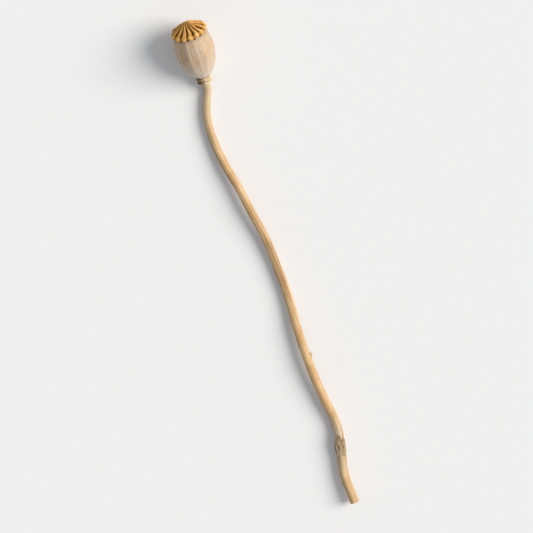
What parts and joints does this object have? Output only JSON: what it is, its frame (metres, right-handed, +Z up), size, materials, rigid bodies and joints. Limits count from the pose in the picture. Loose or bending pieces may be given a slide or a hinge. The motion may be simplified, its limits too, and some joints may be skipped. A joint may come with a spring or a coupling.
{
  "type": "poppy seed head",
  "caption": "Dried poppy seed capsule with a scalloped ray crown, on a long wavy cut stem, lying on its side.",
  "frame": {"origin": "on the surface it lies on, under the middle of the whole piece", "axes": "+Y along the length from the cut end of the stem to the head, +Z up from the surface, +X to the side"},
  "size_m": [0.1218, 0.3204, 0.0304],
  "materials": {
    "straw_stem": "dry golden straw with fine lengthwise fibres",
    "dried_leaf": "matte torn dry leaf",
    "scar_rings": "matte cream with brown scar rings",
    "capsule_skin": "matte pale tan skin with a waxy grey bloom",
    "crown_rays": "dry ochre ridges with dark brown gaps"
  },
  "bodies": {
    "root": {"stem": "straw_stem", "leaf_base": "dried_leaf", "receptacle": "scar_rings", "capsule": "capsule_skin", "stigma_crown": "crown_rays"}
  },
  "joints": []
}
